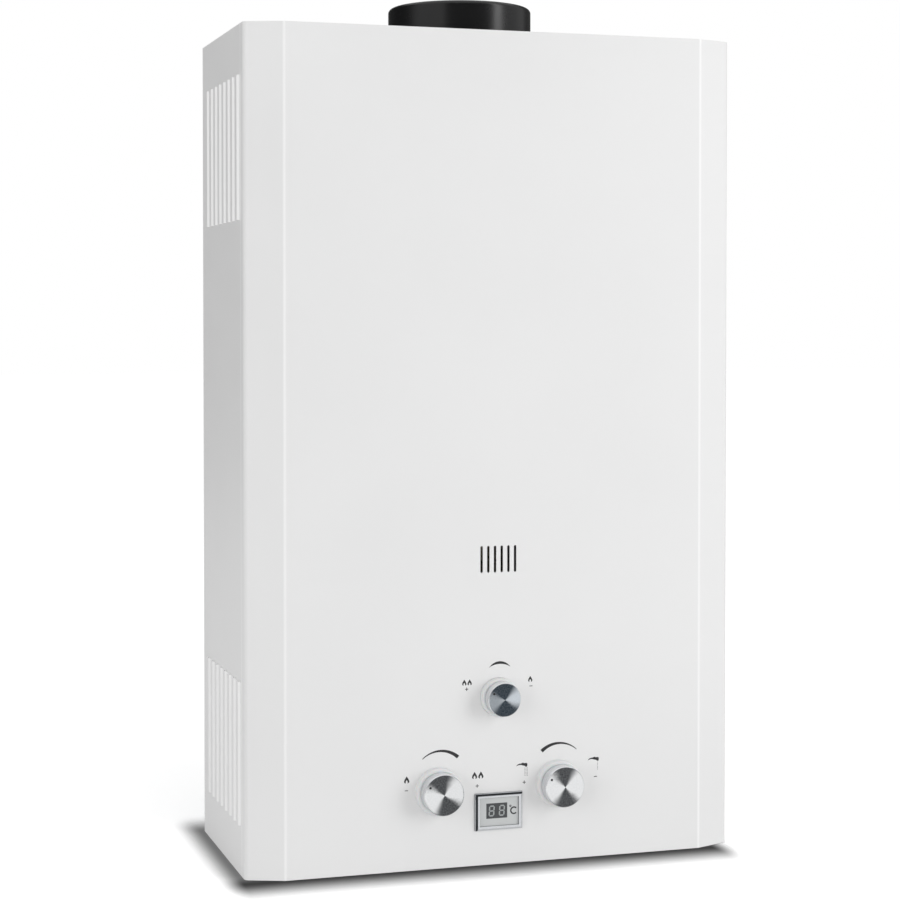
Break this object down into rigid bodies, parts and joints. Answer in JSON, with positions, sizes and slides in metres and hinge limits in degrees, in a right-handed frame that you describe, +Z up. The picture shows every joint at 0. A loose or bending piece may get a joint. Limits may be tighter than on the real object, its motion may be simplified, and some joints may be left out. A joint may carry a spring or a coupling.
{
  "type": "wall-hung gas water heater",
  "caption": "White sheet-metal flow-through gas water heater with a round flue collar, turned metal knobs, a temperature display and pipe stubs underneath.",
  "frame": {"origin": "centre of the whole heater in plan, on the plane of its lower edge", "axes": "+X to the right seen from the front, +Y back to the wall, +Z up"},
  "size_m": [0.3654, 0.174, 0.617],
  "materials": {
    "white_paint": "smooth semi-gloss stove enamel",
    "galvanised_sheet": "galvanised sheet",
    "black_enamel": "gloss heat-proof enamel",
    "copper": "soldered copper",
    "burner_steel": "stainless steel, heat tinted",
    "cast_aluminium": "die cast",
    "brass": "machined brass",
    "zinc_steel": "zinc plated",
    "mica_glass": "clear mica",
    "rubber": "moulded rubber",
    "black_plastic": "moulded",
    "spun_metal": "spun face, plated side",
    "white_plastic": "milky moulding",
    "chrome": "plated moulding",
    "display_window": "grey tinted window",
    "display_board": "dark digit panel",
    "grey_plastic": "moulded",
    "cell_jacket": "bare jacket",
    "ceramic": "glazed ceramic with steel wire",
    "lead_sleeve": "silicone sleeve"
  },
  "bodies": {
    "casing": {"front_cover": "white_paint", "rear_panel": "galvanised_sheet", "top_panel": "galvanised_sheet", "bottom_panel": "galvanised_sheet", "flue_collar": "black_enamel", "flue_hood": "galvanised_sheet", "exchanger_shell": "copper", "exchanger_tube": "copper", "fin_pack": "copper", "burner_frame": "galvanised_sheet", "burner_rails": "galvanised_sheet", "burner_bars": "burner_steel", "gas_manifold": "cast_aluminium", "gas_injectors": "brass", "gas_risers": "brass", "heat_unit_brackets": "galvanised_sheet", "viewing_window": "mica_glass", "gas_valve_body": "cast_aluminium", "water_valve_body": "cast_aluminium", "diaphragm_cover": "cast_aluminium", "diaphragm": "rubber", "micro_switch": "black_plastic", "solenoid_coil": "black_plastic", "season_valve_body": "cast_aluminium", "season_bezel": "white_plastic", "gas_bezel": "white_plastic", "water_bezel": "white_plastic", "spindle_glands": "brass", "gas_inlet": "brass", "cold_inlet": "brass", "hot_outlet": "brass", "lock_nuts": "brass", "cold_pipe": "copper", "hot_pipe": "copper", "display_frame": "chrome", "display_window": "display_window", "display_board": "display_board", "battery_box": "grey_plastic", "lid_pin": "zinc_steel", "battery_cells": "cell_jacket", "battery_contacts": "zinc_steel", "ignition_module": "black_plastic", "flame_probes": "ceramic", "overheat_cutout": "black_plastic", "wiring": "lead_sleeve", "screws": "zinc_steel"},
    "season_control": {"season_knob": "spun_metal", "season_spindle": "brass"},
    "gas_control": {"gas_knob": "spun_metal", "gas_spindle": "brass"},
    "water_control": {"water_knob": "spun_metal", "water_spindle": "brass"},
    "needle": {"water_needle": "black_plastic"},
    "linkage": {"linkage_rod": "zinc_steel", "gas_poppet": "brass", "switch_blade": "zinc_steel"},
    "button": {"switch_button": "black_plastic"},
    "plunger": {"solenoid_plunger": "zinc_steel"},
    "lid": {"battery_lid": "grey_plastic"},
    "drain": {"drain_plug": "black_plastic"}
  },
  "joints": [
    {"name": "season_knob_turn", "type": "hinge", "parent": "casing", "child": "season_control", "pos_m": [0, -0.071, 0.1192], "axis": [0, 1, 0], "range_deg": [0, 120]},
    {"name": "gas_knob_turn", "type": "hinge", "parent": "casing", "child": "gas_control", "pos_m": [-0.0448, -0.071, 0.055], "axis": [0, 1, 0], "range_deg": [0, 120]},
    {"name": "water_knob_turn", "type": "hinge", "parent": "casing", "child": "water_control", "pos_m": [0.0448, -0.071, 0.055], "axis": [0, 1, 0], "range_deg": [0, 120]},
    {"name": "water_needle_slide", "type": "slide", "parent": "casing", "child": "needle", "axis": [0, -1, 0], "range_m": [0, 0.003]},
    {"name": "linkage_slide", "type": "slide", "parent": "casing", "child": "linkage", "axis": [-1, 0, 0], "range_m": [0, 0.0025], "stiffness_N_per_m": 400},
    {"name": "switch_button_slide", "type": "slide", "parent": "casing", "child": "button", "axis": [-1, 0, 0], "range_m": [0, 0.0025]},
    {"name": "solenoid_plunger_slide", "type": "slide", "parent": "casing", "child": "plunger", "axis": [-1, 0, 0], "range_m": [0, 0.003], "stiffness_N_per_m": 200},
    {"name": "battery_lid_hinge", "type": "hinge", "parent": "casing", "child": "lid", "pos_m": [0.1265, 0.0112, 0.0211], "axis": [1, 0, 0], "range_deg": [0, 95]},
    {"name": "drain_plug_turn", "type": "hinge", "parent": "casing", "child": "drain", "pos_m": [0.0558, -0.038, 0.02], "axis": [0, 0, -1], "range_deg": [0, 360]}
  ],
  "couplings": [
    {"joint": "water_needle_slide", "follows": "water_knob_turn", "m_per_rad": 0.0014323},
    {"joint": "switch_button_slide", "follows": "linkage_slide", "ratio": 1}
  ]
}
